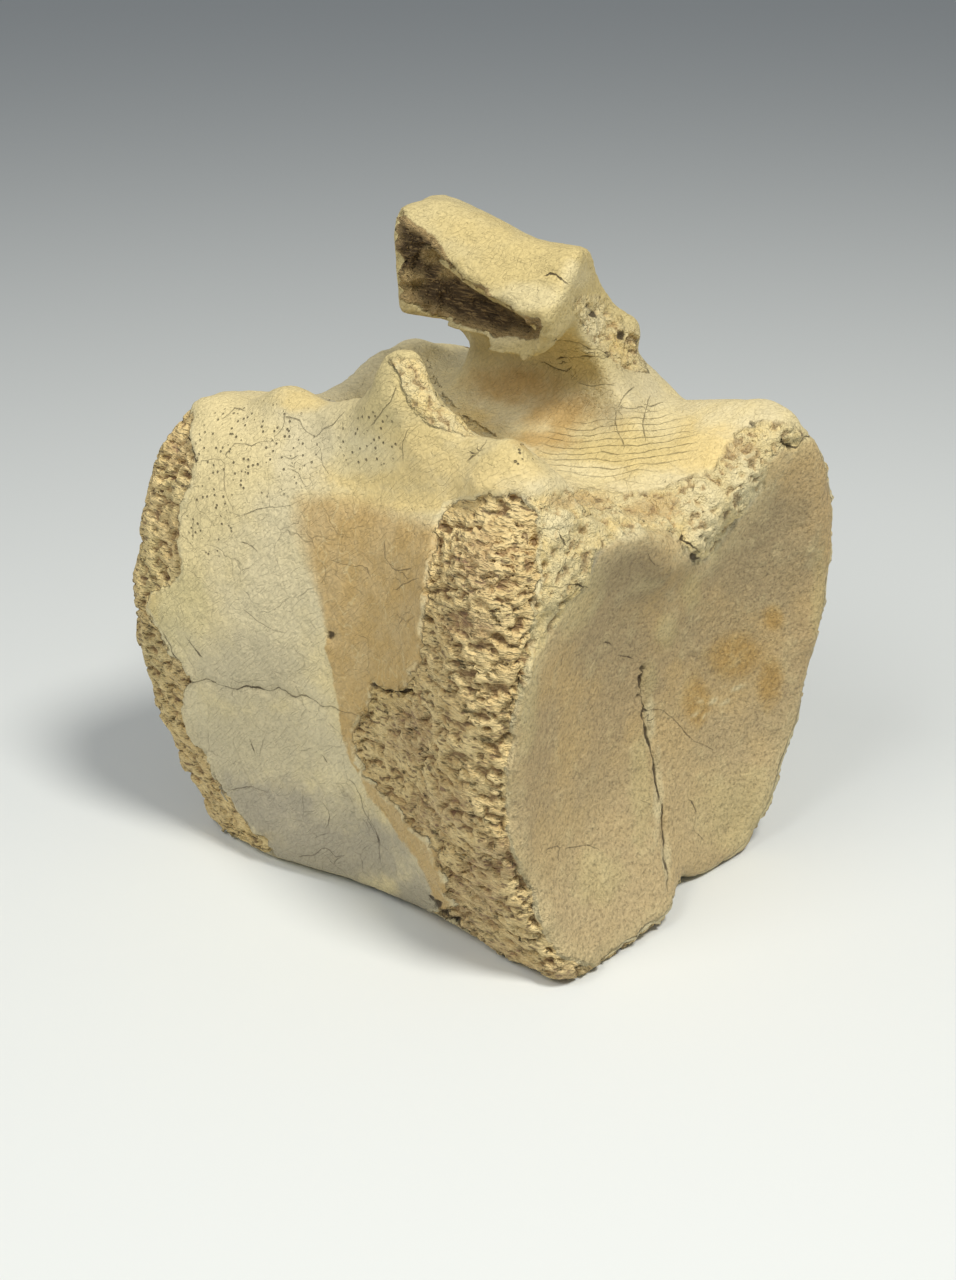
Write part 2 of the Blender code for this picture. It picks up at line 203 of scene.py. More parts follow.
def inside(pixels, outline):
    """Distance to a closed outline in pixels, positive inside it."""
    outline = np.array(outline, float)
    nearest = np.full(len(pixels), 1e6)
    within = np.zeros(len(pixels), bool)
    for start, end in zip(outline, np.roll(outline, -1, axis=0)):
        nearest = np.minimum(nearest, nearest_on(pixels, start, end)[0])
        if start[1] != end[1]:
            level_with = (start[1] > pixels[:, 1]) != (end[1] > pixels[:, 1])
            meets = start[0] + (end[0] - start[0]) * (pixels[:, 1] - start[1]) / (end[1] - start[1])
            within ^= level_with & (pixels[:, 0] < meets)
    return np.where(within, nearest, -nearest)


def beside(pixels, line):
    """Distance to an open line in pixels, negative on its left, and the share of the line passed."""
    line = np.array(line, float)
    nearest = np.full(len(pixels), 1e6)
    signed = nearest.copy()
    passed = np.zeros(len(pixels))
    for index, (start, end) in enumerate(zip(line, line[1:])):
        distance, share, side = nearest_on(pixels, start, end)
        closer = distance < nearest
        nearest = np.where(closer, distance, nearest)
        signed = np.where(closer, distance * side, signed)
        passed = np.where(closer, (index + share) / (len(line) - 1), passed)
    return signed, passed


SIGHT_SLACK = 1.2 * MM


def seen(mesh, points, normals):
    """1 where the camera sees the bone, 0 where it can't."""
    faces = [tuple(face.vertices) for face in mesh.polygons]
    bone_tree = BVHTree.FromPolygons(points.tolist(), faces)
    eye = CAMERA_PLACE.tolist()
    visible = np.zeros(len(points))
    for index, (point, normal) in enumerate(zip(points, normals)):
        ray = point - CAMERA_PLACE
        if normal @ ray < 0:
            hit = bone_tree.ray_cast(eye, ray.tolist())[3]
            visible[index] = hit is not None and hit > np.linalg.norm(ray) - SIGHT_SLACK
    return visible


def rough(points, wavelength, octaves=3, stretch=(1, 1, 1), start=0.0):
    """Uneven heights, about -1 to 1, with the given wavelength in millimetres."""
    scaled = points / (MM * wavelength) / np.array(stretch) + start
    return np.array([noise.fractal(spot, 0.75, 2.1, octaves) for spot in scaled.tolist()])


# %% [markdown]
# ## Where the bone is worn
# The thin dense skin of the bone, the cortex, has broken away along both rims. There the spongy
# inside shows. The outlines follow the edge of the cortex on the side that the camera sees. The
# rest of the rims gets a band of uneven width.

# %% Draw the outlines of worn bone
PITTED_BAND = [
    (445, 504), (434, 526), (434, 557), (428, 582), (426, 603), (423, 628), (419, 653), (414, 672),
    (412, 681), (400, 693), (388, 690), (374, 684), (371, 709), (360, 720), (353, 740), (355, 758),
    (363, 775), (381, 789), (394, 805), (409, 824), (425, 839), (436, 855), (443, 873), (446, 895),
    (459, 907), (434, 912), (425, 918), (440, 940), (480, 990), (540, 1000), (600, 985), (596, 967),
    (557, 956), (546, 939), (537, 917), (532, 894), (520, 872), (512, 852), (506, 830), (505, 802),
    (506, 774), (508, 746), (512, 718), (520, 693), (526, 659), (532, 637), (532, 606), (540, 584),
    (534, 550), (537, 516), (520, 494), (480, 497),
]
PALE_RIM = [
    (520, 494), (560, 490), (600, 486), (640, 492), (672, 486), (695, 477), (714, 470), (726, 450),
    (740, 430), (755, 424), (775, 420), (795, 428), (806, 436), (795, 447), (780, 449), (766, 464),
    (760, 488), (745, 512), (728, 530), (718, 546), (700, 562), (692, 562), (680, 539), (660, 530),
    (644, 531), (618, 539), (598, 552), (590, 586), (574, 600), (557, 623), (540, 645), (529, 662),
    (532, 637), (532, 606), (540, 584), (534, 550), (537, 516),
]
FACET = [
    (600, 550), (618, 539), (644, 530), (660, 528), (680, 539), (692, 562), (702, 562), (718, 547),
    (730, 528), (747, 510), (762, 486), (768, 462), (782, 449), (808, 440), (850, 450), (850, 620),
    (800, 720), (770, 800), (740, 870), (690, 900), (640, 940), (596, 967), (557, 956), (546, 939),
    (537, 917), (532, 894), (520, 872), (512, 852), (506, 830), (505, 802), (506, 774), (508, 746),
    (512, 718), (520, 693), (529, 662), (540, 645), (557, 623), (574, 600), (588, 580),
]
REAR_BAND = [
    (205, 385), (190, 408), (194, 422), (191, 440), (196, 462), (188, 480), (180, 510), (176, 538),
    (180, 557), (183, 576), (166, 588), (150, 592), (146, 610), (154, 625), (164, 642), (174, 656),
    (182, 672), (192, 684), (183, 690), (183, 706), (186, 724), (192, 740), (205, 755), (217, 780),
    (226, 799), (239, 814), (257, 833), (276, 845), (295, 855), (313, 864), (313, 900), (220, 880),
    (150, 780), (100, 640), (120, 440), (170, 370),
]
TAN_PATCH = [
    (298, 500), (326, 497), (369, 503), (400, 516), (440, 525), (440, 700), (376, 712), (362, 722),
    (356, 745), (362, 775), (384, 791), (400, 808), (426, 834), (443, 862), (455, 912), (440, 914),
    (425, 876), (404, 842), (372, 800), (352, 762), (342, 740), (337, 705), (332, 675), (327, 650),
    (326, 620), (321, 600), (312, 575), (305, 555), (298, 530),
]
ARCH_BREAK = [
    (388, 203), (397, 203), (404, 214), (413, 223), (424, 228), (433, 236), (441, 247), (449, 258),
    (455, 268), (463, 279), (475, 284), (487, 290), (497, 299), (508, 306), (517, 314), (528, 318),
    (538, 318), (542, 328), (537, 338), (520, 338), (505, 335), (495, 337), (480, 331), (465, 325),
    (450, 322), (437, 316), (425, 310), (412, 303), (395, 298), (385, 290),
]
STUMP_INSIDE = [
    (388, 360), (408, 357), (426, 361), (434, 377), (444, 396), (457, 410), (472, 420), (496, 437),
    (470, 434), (445, 430), (428, 424), (415, 412), (408, 400), (402, 385), (397, 370),
]
ARCH_FRONT = [
    (571, 303), (588, 294), (604, 298), (614, 316), (644, 335), (640, 352), (646, 372), (618, 366),
    (611, 358), (598, 344), (585, 326),
]
print("outlines", len(PITTED_BAND) + len(PALE_RIM) + len(FACET) + len(REAR_BAND), "corners")


# %% [markdown]
# ## How deep the wear goes
# Distances inside the worn outlines are kept in millimetres, with a wobble that breaks the drawn
# edge into small bays. Behind the bone, where nothing was drawn, the distance from each end and
# from the middle of the face decides.

# %% Measure every point of the bone against the outlines
FACE_CENTRE = np.array((-0.001, 0.0, 0.0515))
FRONT_FACE_Y, REAR_FACE_Y = -0.0531, 0.0535
FACE_RADIUS = 44.0
FRONT_WIDTH, REAR_WIDTH, WIDTH_WOBBLE = 13, 12, 4
BANDS_END, BANDS_FADE = 100, 94
REAR_PART_Y = 0.02
VIEW_ROUNDS, VIEW_GAIN, VIEW_CUT = 4, 1.6, 0.3
OUTSIDE = -20.0
FAR_AWAY = 30


def wear_of(mesh):
    """The distances inside each worn zone, in millimetres, and how well the camera sees each point."""
    points, normals, edges = points_of(mesh), normals_of(mesh), edges_of(mesh)
    pixels, pixel_size = in_picture(points)
    view = spread(seen(mesh, points, normals), edges, VIEW_ROUNDS)
    view = np.clip(view * VIEW_GAIN - VIEW_CUT, 0, 1)
    bays = 0.9 * rough(points, 7, 4) + 0.5 * rough(points, 2.2, 2, start=9.0)

    from_front = (points[:, 1] - FRONT_FACE_Y) / MM
    from_rear = (REAR_FACE_Y - points[:, 1]) / MM
    outward = np.hypot(points[:, 0] - FACE_CENTRE[0], points[:, 2] - FACE_CENTRE[2]) / MM
    sideways = FAR_AWAY * (np.abs(normals[:, 1]) < 0.5)
    uneven = rough(points, 26, 3, start=4.0)
    top_off = FAR_AWAY * (1 - smooth_step(BANDS_END, BANDS_FADE, points[:, 2] / MM))
    front_width = FRONT_WIDTH + WIDTH_WOBBLE * uneven
    rear_width = REAR_WIDTH + WIDTH_WOBBLE * uneven
    hidden_front = np.minimum(front_width - from_front, outward - FACE_RADIUS) - top_off
    hidden_rear = np.minimum(rear_width - from_rear, outward - FACE_RADIUS) - top_off
    hidden_face = FACE_RADIUS - outward - sideways

    def drawn(outline, elsewhere=OUTSIDE):
        return view * inside(pixels, outline) * pixel_size + (1 - view) * elsewhere

    is_rear = points[:, 1] > REAR_PART_Y
    rear = np.where(is_rear, drawn(REAR_BAND, hidden_rear), OUTSIDE)
    front = np.where(is_rear, OUTSIDE, drawn(PITTED_BAND, hidden_front))
    zones = {
        "pitted": np.maximum(front, rear) + bays,
        "pale_rim": np.maximum(drawn(PALE_RIM), drawn(ARCH_FRONT)) + 0.8 * bays,
        "facet": np.where(is_rear, hidden_face, drawn(FACET, hidden_face)),
        "tan": drawn(TAN_PATCH) + 0.5 * bays,
        "arch_break": drawn(ARCH_BREAK) + 0.3 * bays,
        "stump_inside": drawn(STUMP_INSIDE) + 0.3 * bays,
    }
    return points, normals, pixels, pixel_size, view, zones


# %% [markdown]
# ## Cracks and pits
# Dried bone cracks along its grain. Each crack has a width and a depth in millimetres, and the
# pixels that it passes through. Hairlines are cracks so thin that only their colour shows. A pit is
# a small hole: column and row in the picture, then its radius and depth in millimetres.

# %% Draw the cracks and pits
CRACKS = [
    (0.3, 0.4, [(180, 688), (190, 683), (201, 680), (206, 679), (217, 684), (228, 687), (238, 690),
                 (246, 686), (254, 688), (270, 692), (278, 688), (285, 691), (294, 698), (302, 695),
                 (314, 701), (322, 708), (332, 707), (341, 712), (351, 713), (360, 717), (370, 717)]),
    (0.24, 0.2, [(349, 779), (355, 785), (361, 797), (364, 811), (371, 822), (374, 831), (380, 845),
                (381, 863)]),
    (0.24, 0.2, [(299, 857), (315, 855), (322, 848), (328, 849), (336, 857), (341, 855)]),
    (0.3, 0.2, [(322, 757), (327, 763)]),
    (0.25, 0.2, [(286, 726), (289, 728)]),
    (0.55, 0.7, [(642, 662), (643, 672), (640, 684), (641, 697), (645, 708), (643, 718), (649, 731),
                (652, 750), (656, 768), (658, 790), (662, 806), (664, 826), (667, 842), (666, 856),
                (669, 874), (668, 896)]),
    (0.25, 0.25, [(645, 713), (652, 709), (665, 710), (671, 717), (679, 725), (686, 735), (693, 741),
                 (704, 745), (715, 751)]),
    (0.3, 0.3, [(540, 586), (556, 588), (566, 584), (580, 586), (590, 588)]),
    (0.45, 0.4, [(604, 643), (609, 643), (613, 645)]),
    (0.4, 0.4, [(618, 655), (624, 656), (632, 658)]),
    (0.45, 0.5, [(782, 440), (786, 445), (795, 448), (800, 442), (806, 437), (815, 433)]),
    (0.6, 0.6, [(544, 276), (549, 273), (556, 274), (561, 279), (567, 284)]),
    (0.35, 0.4, [(550, 340), (566, 342), (580, 343), (590, 349), (602, 350), (612, 352)]),
    (0.35, 0.4, [(556, 359), (574, 357), (590, 357), (603, 359), (613, 353)]),
    (0.3, 0.3, [(540, 362), (556, 368), (566, 372), (572, 366)]),
    (0.3, 0.3, [(578, 383), (590, 386), (604, 384), (616, 386)]),
    (0.25, 0.2, [(634, 387), (626, 394), (621, 401), (616, 410)]),
    (0.35, 0.3, [(469, 451), (474, 455), (480, 452)]),
    (0.35, 0.4, [(684, 531), (688, 540), (694, 548), (700, 553)]),
    (0.35, 0.4, [(558, 532), (564, 540), (567, 546)]),
    (0.35, 0.4, [(584, 518), (592, 515), (601, 513)]),
    (0.45, 0.5, [(163, 632), (168, 642), (173, 652), (178, 662), (183, 672), (187, 676)]),
    (0.28, 0.2, [(184, 636), (192, 646), (201, 657)]),
    (1.1, 1.4, [(371, 683), (377, 692), (385, 694), (393, 691), (401, 694), (409, 690)]),
    (0.6, 0.5, [(186, 436), (191, 446), (194, 455), (197, 463)]),
]
HAIRLINES = [
    [(222, 419), (229, 413), (235, 408), (246, 410)],
    [(197, 462), (213, 459), (223, 460), (229, 450), (236, 443), (251, 445), (262, 441), (276, 442)],
    [(284, 415), (283, 426), (277, 434), (271, 438)],
    [(284, 416), (298, 419), (305, 432), (317, 437), (323, 430), (334, 425), (345, 410)],
    [(320, 446), (322, 462), (330, 475)], [(280, 455), (292, 459), (300, 455)],
    [(289, 469), (299, 474), (305, 487)], [(224, 461), (225, 490), (233, 508), (234, 519)],
    [(234, 519), (252, 511), (268, 507), (290, 505), (306, 498)], [(193, 514), (192, 541)],
    [(240, 541), (250, 544), (255, 552)], [(243, 608), (258, 622), (276, 631), (287, 634)],
    [(397, 384), (392, 400), (381, 414), (371, 426)], [(408, 428), (402, 446), (404, 462)],
    [(487, 440), (480, 452), (468, 462)], [(330, 560), (345, 566), (366, 566), (372, 580)],
    [(384, 540), (386, 560), (396, 572), (412, 568)], [(395, 590), (404, 584), (417, 578)],
    [(616, 410), (615, 424), (620, 436), (624, 448)], [(650, 396), (646, 410), (642, 425), (646, 442)],
    [(612, 408), (630, 409), (648, 407), (664, 403)], [(648, 554), (650, 560), (656, 564)],
    [(640, 800), (652, 806), (660, 803)], [(690, 800), (697, 812), (694, 830), (705, 842)],
    [(545, 850), (556, 846), (570, 848), (588, 845), (600, 850)], [(560, 846), (558, 862)],
    [(250, 740), (254, 752)], [(230, 790), (250, 786), (268, 792)], [(320, 800), (330, 812), (328, 826)],
]
HAIR_WIDTH = 0.24
PITS = [
    (330, 636, 0.9, 0.9),
    (437, 905, 1.0, 0.9), (444, 914, 1.2, 1.1), (452, 924, 1.1, 1.0), (430, 899, 0.6, 0.6),
    (642, 668, 0.5, 0.7), (640, 678, 0.4, 0.6), (642, 687, 0.5, 0.7), (640, 697, 0.4, 0.6),
    (621, 336, 1.1, 1.0), (588, 306, 0.6, 0.7), (595, 314, 0.6, 0.7), (694, 557, 0.7, 0.7),
    (665, 480, 0.5, 0.6), (752, 424, 0.7, 0.7), (790, 446, 0.6, 0.7),
]
LINE_REACH = 1.7
LINE_END = 0.05
NO_MARK = 9.0


def marks_of(points, pixels, pixel_size, view):
    """Distance and side of the nearest crack, its width and depth, and the edges of the pits."""
    side = np.full(len(points), NO_MARK)
    width = np.zeros(len(points))
    depth = np.zeros(len(points))
    shake = 0.3 * rough(points, 3, 3, start=2.0)
    uneven = np.clip(0.95 + 0.9 * rough(points, 5, 3, start=12.0), 0.4, 1.7)
    for wide, deep, line in CRACKS + [(HAIR_WIDTH, 0.0, line) for line in HAIRLINES]:
        signed, passed = beside(pixels, line)
        signed = signed * pixel_size + shake
        closer = np.abs(signed) < np.abs(side)
        fade = smooth_step(0, LINE_END, passed) * smooth_step(0, LINE_END, 1 - passed) * view
        fade = fade * (np.abs(signed) < LINE_REACH) * uneven
        side = np.where(closer, signed, side)
        width = np.where(closer, wide * fade, width)
        depth = np.where(closer, deep * fade, depth)
    hole = np.full(len(points), NO_MARK)
    hole_depth = np.zeros(len(points))
    for column, row, radius, deep in PITS:
        off = np.hypot(pixels[:, 0] - column, pixels[:, 1] - row) * pixel_size - radius + 2 * shake
        off = np.where(view > 0.5, off, NO_MARK)
        hole = np.minimum(hole, off)
        hole_depth = np.maximum(hole_depth, deep * (1 - smooth_step(-0.8 * radius, 0.4, off)))
    return side, width, depth, hole, hole_depth


points, normals, pixels, pixel_size, view, zones = wear_of(bone.data)
side, width, depth, hole, hole_depth = marks_of(points, pixels, pixel_size, view)
print(len(CRACKS), "cracks,", len(HAIRLINES), "hairlines and", len(PITS), "pits")

# %% [markdown]
# ## More faces where the bone is spongy
# The pits and the deep cracks need more faces than smooth cortex, so only the faces there are
# divided.

# %% Divide the worn faces once
ROUGH_ZONES = ("pitted", "arch_break", "stump_inside", "pale_rim")
worn = np.maximum.reduce([zones[name] for name in ROUGH_ZONES]) > -0.7
worn |= (depth > 0.3) & (np.abs(side) < 1.0)
worn |= hole < 0.4
build = bmesh.new()
build.from_mesh(bone.data)
build.verts.ensure_lookup_table()
worn_edges = [edge for edge in build.edges if worn[edge.verts[0].index] and worn[edge.verts[1].index]]
bmesh.ops.subdivide_edges(build, edges=worn_edges, cuts=1, use_grid_fill=True)
bmesh.ops.triangulate(build, faces=[face for face in build.faces if len(face.verts) > 4])
build.to_mesh(bone.data)
build.free()
points, normals, pixels, pixel_size, view, zones = wear_of(bone.data)
side, width, depth, hole, hole_depth = marks_of(points, pixels, pixel_size, view)
print("triangles", sum(len(face.vertices) - 2 for face in bone.data.polygons))

# %% [markdown]
# ## The pitted relief
# Spongy bone is a lattice of winding walls round small cells. A soft noise that is stretched along
# the bone rises over each cell, so the bone sinks there, and what is left between makes the walls.

# %% Measure the cells of spongy bone
SHAKE = 1.1
BAND_CELLS = (2.0, 3.2, 1.2)
RIM_CELLS = (1.9, 1.9, 1.7)


def lattice(points, size, start):
    """0 on the walls of spongy bone and 1 in the middle of its cells."""
    shift = np.stack([rough(points, 3.5, 2, start=start + k) for k in (1, 5, 8)], axis=1)
    spots = (points / MM + SHAKE * shift) / np.array(size) + start
    value = [noise.noise(spot) + 0.3 * noise.noise([2.3 * part for part in spot])
             for spot in spots.tolist()]
    return smooth_step(-0.04, 0.3, np.array(value))


def only_where(mask, measure):
    """A measure of the points where the mask holds, and zero elsewhere."""
    values = np.zeros(len(mask))
    chosen = np.flatnonzero(mask)
    values[chosen] = measure(points[chosen])
    return values


in_band = zones["pitted"] > -0.6
in_rim = np.maximum.reduce([zones[name] for name in ROUGH_ZONES[1:]]) > -0.6
cell = np.maximum(
    only_where(in_band, lambda spots: lattice(spots, BAND_CELLS, 0.0)),
    only_where(in_rim & ~in_band, lambda spots: lattice(spots, RIM_CELLS, 20.0)))
print("share of the surface in cells", round(float((cell > 0.5).mean()), 2))

# %% [markdown]
# ## All the relief in one height
# A raised lip runs along the edge of the cortex, with a groove behind it, and a low ridge runs down
# the end face from the notch in its rim to the split. Everything that stands out or sinks in is
# added up in millimetres, and the points move along their normals by the sum. That is quicker than
# shaping each form apart, and nothing can overlap.

# %% Measure the forms on the surface
FACE_RIDGE = [(728, 516), (708, 560), (690, 592), (668, 622), (652, 650), (643, 714)]
RIDGE_HALF_WIDTH = 2.4


def hump(distance, middle, half_width):
    """1 at the middle, and falling off evenly on both sides of it."""
    return np.exp(-((distance - middle) / half_width) ** 2)


ridge_side, along_ridge = beside(pixels, FACE_RIDGE)
ridge = hump(ridge_side * pixel_size, 0, RIDGE_HALF_WIDTH) * view
ridge *= smooth_step(0, 0.2, along_ridge) * smooth_step(0, 0.3, 1 - along_ridge)
pitted = smooth_step(-0.25, 0.35, zones["pitted"])
pale = smooth_step(-0.5, 1.0, zones["pale_rim"])
broken = smooth_step(-0.2, 0.5, zones["arch_break"])
stump = smooth_step(-0.4, 0.6, zones["stump_inside"])
facet = smooth_step(-0.5, 1.5, zones["facet"]) * (1 - pitted)
coarse = rough(points, 9, 4, start=3.0)
lumps = rough(points, 4.5, 3, start=6.0)
grit = rough(points, 2.0, 2, start=8.0)
swell = rough(points, 17, 2, start=5.0)
fibres = rough(points, 2.4, 3, stretch=(1, 5, 1), start=7.0)
hollow = smooth_step(0.5, 2.5, zones["arch_break"])
print("ridge points", int((ridge > 0.5).sum()), "and broken points", int((broken > 0.5).sum()))

# %% Add up the heights and move the points
LIP_HEIGHT, LIP_OUTSIDE, LIP_HALF_WIDTH = 0.5, -0.6, 0.5
GROOVE_DEPTH, GROOVE_INSIDE, GROOVE_HALF_WIDTH = 0.5, 0.8, 0.6
PIT_DEPTH, PIT_UNEVEN = 1.25, 0.6
RIM_LUMPS, RIM_GRIT, RIM_PITS = 1.0, 0.45, 0.8
BREAK_DEPTH, FIBRE_DEPTH, BREAK_PITS, HOLLOW_DEPTH = 0.4, 1.3, 0.6, 1.2
STUMP_ROUGHNESS = 0.7
CRACK_HALF_WIDTH, CRACK_LIP, CRACK_LIP_PLACE, CRACK_LIP_WIDTH = 0.55, 0.35, 0.9, 0.5
BOX_MARGIN = 0.05 * MM

height = 0.22 * coarse + 0.12 * lumps * (1 - facet) + facet * (0.5 * swell + 0.9 * ridge)
height -= pitted * (0.45 * coarse - 0.1) + pitted * cell * (PIT_DEPTH + PIT_UNEVEN * lumps)
height += LIP_HEIGHT * hump(zones["pitted"], LIP_OUTSIDE, LIP_HALF_WIDTH) * (1 + 0.6 * lumps)
height -= GROOVE_DEPTH * hump(zones["pitted"], GROOVE_INSIDE, GROOVE_HALF_WIDTH)
height += pale * (RIM_LUMPS * lumps + RIM_GRIT * grit - RIM_PITS * cell)
height -= broken * (BREAK_DEPTH + FIBRE_DEPTH * fibres + BREAK_PITS * cell + HOLLOW_DEPTH * hollow)
height -= stump * STUMP_ROUGHNESS * (cell + lumps)
height += CRACK_LIP * depth * hump(np.abs(side), CRACK_LIP_PLACE, CRACK_LIP_WIDTH)
height -= depth * hump(side, 0, CRACK_HALF_WIDTH) + hole_depth

moved = points + normals * height[:, None] * MM
moved = np.clip(moved, np.array(cad_low) + BOX_MARGIN, np.array(cad_high) - BOX_MARGIN)
bone.data.vertices.foreach_set("co", moved.ravel())
bone.data.update()
bone.data.shade_smooth()
print("relief from", round(float(height.min()), 1), "to", round(float(height.max()), 1), "mm")

# %% [markdown]
# ## Stains and painted shade
# Burial left soft-edged stains. One set of ovals is painted shade instead: it darkens the lower flank
# above the foot and the hollow upper part of the end face. Each is one or more ovals in the picture:
# column, row, half width and half height in pixels. The far side gets its stains and shade from a slow
# noise.

# %% Place the stains and the painted shade
STAINS_AND_SHADE = {
    "rust": [(560, 412, 56, 30), (520, 385, 70, 30), (545, 440, 44, 16), (697, 702, 20, 36),
             (773, 618, 16, 18), (770, 684, 18, 38), (735, 656, 40, 30), (652, 508, 46, 18),
             (740, 450, 24, 14), (580, 500, 50, 10)],
    "straw": [(390, 472, 110, 34), (470, 465, 110, 40), (300, 400, 40, 20), (560, 270, 150, 60),
              (700, 450, 80, 34), (380, 690, 50, 40), (470, 420, 40, 20), (660, 430, 60, 26),
              (168, 450, 24, 70), (148, 580, 20, 70), (168, 710, 24, 60), (240, 840, 60, 20),
              (470, 488, 90, 22), (420, 445, 60, 40), (410, 390, 24, 34), (630, 456, 84, 26),
              (480, 232, 60, 30), (400, 500, 120, 18)],
    "moss": [(176, 612, 40, 70), (172, 488, 20, 40), (150, 560, 20, 60), (572, 590, 40, 60),
             (150, 660, 26, 44), (640, 790, 16, 80), (712, 545, 14, 26), (690, 592, 16, 28),
             (664, 632, 18, 26), (648, 682, 14, 36), (528, 700, 16, 90), (540, 630, 14, 40),
             (822, 620, 16, 100), (740, 810, 60, 60), (600, 880, 40, 40)],
    "ashen": [(250, 670, 80, 60), (250, 750, 130, 70), (300, 820, 110, 50),
              (625, 572, 60, 46), (775, 530, 60, 60), (735, 570, 50, 50), (620, 420, 40, 20)],
    # painted shade: darker ovals on the lower flank above the foot and over the hollow upper part of the
    # end face
    "dusky": [(330, 850, 150, 50), (250, 810, 110, 50), (420, 900, 40, 40), (610, 640, 60, 70),
              (625, 580, 60, 50), (770, 560, 70, 90), (720, 640, 60, 60)],
    "pored": [(258, 450, 80, 62), (210, 520, 30, 50), (370, 440, 40, 40), (520, 455, 24, 18)],
    "chalky": [(556, 524, 24, 22), (360, 455, 60, 30), (630, 533, 18, 12), (700, 500, 34, 28),
               (706, 530, 24, 30), (575, 275, 22, 20),
               (745, 480, 24, 44), (530, 296, 60, 20), (590, 330, 20, 30), (470, 335, 80, 14),
               (590, 470, 50, 12), (660, 420, 34, 30), (651, 720, 7, 40), (658, 790, 7, 60),
               (667, 860, 7, 40), (716, 702, 26, 3), (736, 688, 18, 3), (700, 715, 16, 3)],
    "plum": [(478, 560, 36, 50), (470, 625, 44, 20), (410, 735, 40, 44),
             (440, 810, 50, 34), (500, 860, 40, 30), (470, 950, 80, 24), (176, 452, 14, 30),
             (470, 905, 50, 60), (560, 975, 60, 20)],
    "fanned": [(600, 450, 84, 40), (650, 440, 60, 40)],
    "fibrous": [(402, 284, 30, 20), (432, 258, 18, 14), (446, 276, 14, 10)],
}
HIDDEN_STAINS_AND_SHADE = {"rust": 0.2, "straw": 0.35, "moss": 0.3, "ashen": 0.5, "dusky": 0.3,
                 "pored": 0.35, "chalky": 0.2, "plum": 0.3, "fanned": 0.0, "fibrous": 0.0}


def stain_and_shade_cover(name, start):
    """How far a stain, or the painted shade, covers each point: 0 not at all, 1 fully."""
    share = np.zeros(len(points))
    for column, row, wide, tall in STAINS_AND_SHADE[name]:
        off = np.hypot((pixels[:, 0] - column) / wide, (pixels[:, 1] - row) / tall)
        share = np.maximum(share, 1 - smooth_step(0.1, 1.3, off))
    elsewhere = np.clip(HIDDEN_STAINS_AND_SHADE[name] + 0.9 * rough(points, 24, 2, start=start), 0, 1)
    elsewhere *= HIDDEN_STAINS_AND_SHADE[name] > 0
    return view * share + (1 - view) * elsewhere


# %% [markdown]
# ## Fine cracks in the canal
# The floor of the canal is cracked along its length, in lines that fan out. They are level lines of
# a number that grows by one from each line to the next.

# %% Number the canal's cracks
FAN_MIDDLE = 585.0
FAN_SPACING = 6.6
FAN_RISE = 0.0011
FAN_FALL = 0.1

past = pixels[:, 0] - FAN_MIDDLE
fan_row = pixels[:, 1] + np.where(past > 0, FAN_RISE * past ** 2, -FAN_FALL * past)
fan = fan_row / FAN_SPACING + 0.5 * rough(points, 9, 3, start=14.0)
print("canal crack numbers", round(float(fan.min())), "to", round(float(fan.max())))


# %% Keep the zones for the material
ZONE_REACH, HOLE_REACH = 9, 3


def keep(name, values):
    layer = bone.data.attributes.new(name, "FLOAT", "POINT")
    layer.data.foreach_set("value", np.asarray(values, np.float32))


for name in zones:
    keep(name, np.clip(zones[name], -ZONE_REACH, ZONE_REACH))
for number, name in enumerate(STAINS_AND_SHADE):
    keep(name, stain_and_shade_cover(name, 30.0 + number))
keep("cell", cell)
keep("crack_side", side)
keep("crack_width", width)
keep("hole", np.clip(hole, -HOLE_REACH, HOLE_REACH))
keep("fan", fan)
print("attributes", [layer.name for layer in bone.data.attributes if layer.domain == "POINT"])

# %% [markdown]
# ## Effects for the bone's finish
# Small node groups give cracks, pores, grain and ridges. They read the position on the bone in
# millimetres, so each size in them is a real size.


# %% Helpers for node trees
def node(tree, kind, inputs=None, **settings):
    made = tree.nodes.new("ShaderNode" + kind)
    for name, value in settings.items():
        setattr(made, name, value)
    fill(tree, made, inputs or {})
    return made


def fill(tree, made, inputs):
    for key, value in inputs.items():
        if isinstance(value, bpy.types.NodeSocket):
            tree.links.new(value, made.inputs[key])
        else:
            made.inputs[key].default_value = value


def calc(tree, operation, first, second=0.0, third=0.0):
    return node(tree, "Math", {0: first, 1: second, 2: third}, operation=operation).outputs[0]


def vector_calc(tree, operation, *values):
    inputs = dict(enumerate(values))
    return node(tree, "VectorMath", inputs, operation=operation).outputs[0]


def product(tree, first, *others):
    for other in others:
        first = calc(tree, "MULTIPLY", first, other)
    return first


def band(tree, value, low, high, to_low=0.0, to_high=1.0):
    """Turns low to high into to_low to to_high, smoothly and within them."""
    inputs = {"Value": value, "From Min": low, "From Max": high, "To Min": to_low, "To Max": to_high}
    return node(tree, "MapRange", inputs, interpolation_type="SMOOTHSTEP").outputs[0]


def blend(tree, share, first, second, kind="MIX"):
    made = node(tree, "Mix", {0: share, 6: first, 7: second}, data_type="RGBA", blend_type=kind)
    return made.outputs[2]


def new_group(name, inputs, output):
    """An empty node group, its inputs and its one output."""
    tree = bpy.data.node_groups.new(name, "ShaderNodeTree")
    for title, kind in inputs.items():
        tree.interface.new_socket(title, in_out="INPUT", socket_type="NodeSocket" + kind)
    tree.interface.new_socket(output, in_out="OUTPUT", socket_type="NodeSocketFloat")
    given = tree.nodes.new("NodeGroupInput").outputs
    return tree, given, tree.nodes.new("NodeGroupOutput").inputs[0]


def use_group(tree, group, **inputs):
    made = tree.nodes.new("ShaderNodeGroup")
    made.node_tree = group
    fill(tree, made, inputs)
    return made.outputs[0]


